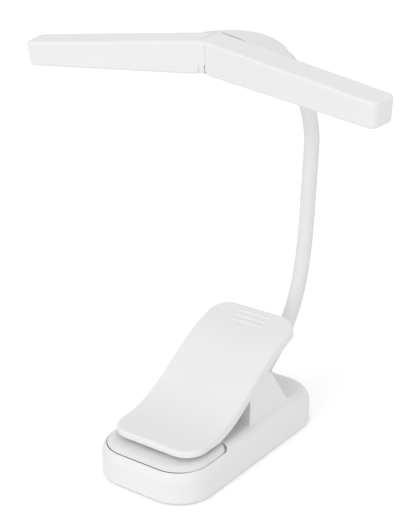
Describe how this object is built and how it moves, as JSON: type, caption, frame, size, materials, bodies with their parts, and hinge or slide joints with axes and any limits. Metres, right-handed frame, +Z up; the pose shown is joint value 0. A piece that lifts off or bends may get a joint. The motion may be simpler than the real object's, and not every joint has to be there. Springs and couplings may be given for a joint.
{
  "type": "clip-on reading light",
  "caption": "Rechargeable clip-on reading light with a sprung lever clip, an arched gooseneck and a domed hub that carries two folding bar-shaped light wings.",
  "frame": {"origin": "under the middle of the base, on the surface that the light stands on", "axes": "+Z up, -Y towards the jaw end, +Y towards the handle and neck end, +X to the light's own right seen from above with the jaw pointing down the page; the wings lie along X"},
  "size_m": [0.1816, 0.1433, 0.1948],
  "materials": {
    "housing_white": "satin",
    "diffuser_white": "frosted",
    "silicone_white": "matt",
    "neck_silicone": "matt",
    "steel": "brushed",
    "cell_foil": "dull",
    "board_green": "satin",
    "board_white": "satin",
    "switch_black": "matt",
    "clear_pipe": "clear",
    "led_yellow": "satin",
    "bush_grey": "smooth"
  },
  "bodies": {
    "base": {"base_shell": "housing_white", "base_cover": "housing_white", "base_screws": "steel", "base_pad": "silicone_white", "lower_jaw_pad": "silicone_white", "battery_cell": "cell_foil", "circuit_board": "board_green", "usb_c_socket": "steel", "button_switches": "switch_black", "charge_light_pipe": "clear_pipe", "neck_collar": "neck_silicone", "neck_anchor": "steel", "pivot_pin": "steel", "clip_spring": "steel"},
    "lever": {"clip_lever": "housing_white", "upper_jaw_pad": "silicone_white", "lever_bushes": "bush_grey"},
    "power_key": {"power_button": "housing_white"},
    "colour_key": {"colour_button": "housing_white"},
    "neck_low": {"neck_lower": "neck_silicone"},
    "neck_mid": {"neck_middle": "neck_silicone"},
    "neck_top": {"neck_upper": "neck_silicone"},
    "hub": {"hub_upper_shell": "housing_white", "hub_lower_shell": "housing_white", "hub_collar": "neck_silicone", "hub_screws": "steel", "centre_spine": "housing_white", "hinge_pins": "steel", "friction_washers": "steel"},
    "right_wing": {"right_wing_housing": "housing_white", "right_wing_lens": "diffuser_white", "right_light_board": "board_white", "right_leds": "led_yellow"},
    "left_wing": {"left_wing_housing": "housing_white", "left_wing_lens": "diffuser_white", "left_light_board": "board_white", "left_leds": "led_yellow"}
  },
  "joints": [
    {"name": "lever_pivot", "type": "hinge", "parent": "base", "child": "lever", "pos_m": [0, 0.0115, 0.028], "axis": [-1, 0, 0], "range_deg": [0, 24], "stiffness_Nm_per_rad": 0.6, "springref_deg": -20.05, "deforming": ["clip_spring"]},
    {"name": "power_press", "type": "slide", "parent": "base", "child": "power_key", "axis": [1, 0, 0], "range_m": [0, 0.0005], "stiffness_N_per_m": 400, "springref_m": -0.0003},
    {"name": "colour_press", "type": "slide", "parent": "base", "child": "colour_key", "axis": [1, 0, 0], "range_m": [0, 0.0005], "stiffness_N_per_m": 400, "springref_m": -0.0003},
    {"name": "neck_root", "type": "hinge", "parent": "base", "child": "neck_low", "pos_m": [0, 0.04807, 0.02241], "axis": [1, 0, 0], "range_deg": [-25, 25]},
    {"name": "neck_side", "type": "hinge", "parent": "neck_low", "child": "neck_mid", "pos_m": [0, 0.08235, 0.09822], "axis": [0, 1, 0], "range_deg": [-25, 25]},
    {"name": "neck_shoulder", "type": "hinge", "parent": "neck_mid", "child": "neck_top", "pos_m": [0, 0.08001, 0.1452], "axis": [1, 0, 0], "range_deg": [-30, 25]},
    {"name": "head_tilt", "type": "hinge", "parent": "neck_top", "child": "hub", "pos_m": [0, 0.04707, 0.17985], "axis": [1, 0, 0], "range_deg": [-25, 20]},
    {"name": "right_wing_fold", "type": "hinge", "parent": "hub", "child": "right_wing", "pos_m": [0.0043, -0.00547, 0.18162], "axis": [0, 0.9957, 0.0924], "range_deg": [0, 84]},
    {"name": "left_wing_fold", "type": "hinge", "parent": "hub", "child": "left_wing", "pos_m": [-0.0043, -0.00547, 0.18162], "axis": [0, -0.9957, -0.0924], "range_deg": [0, 84]}
  ]
}
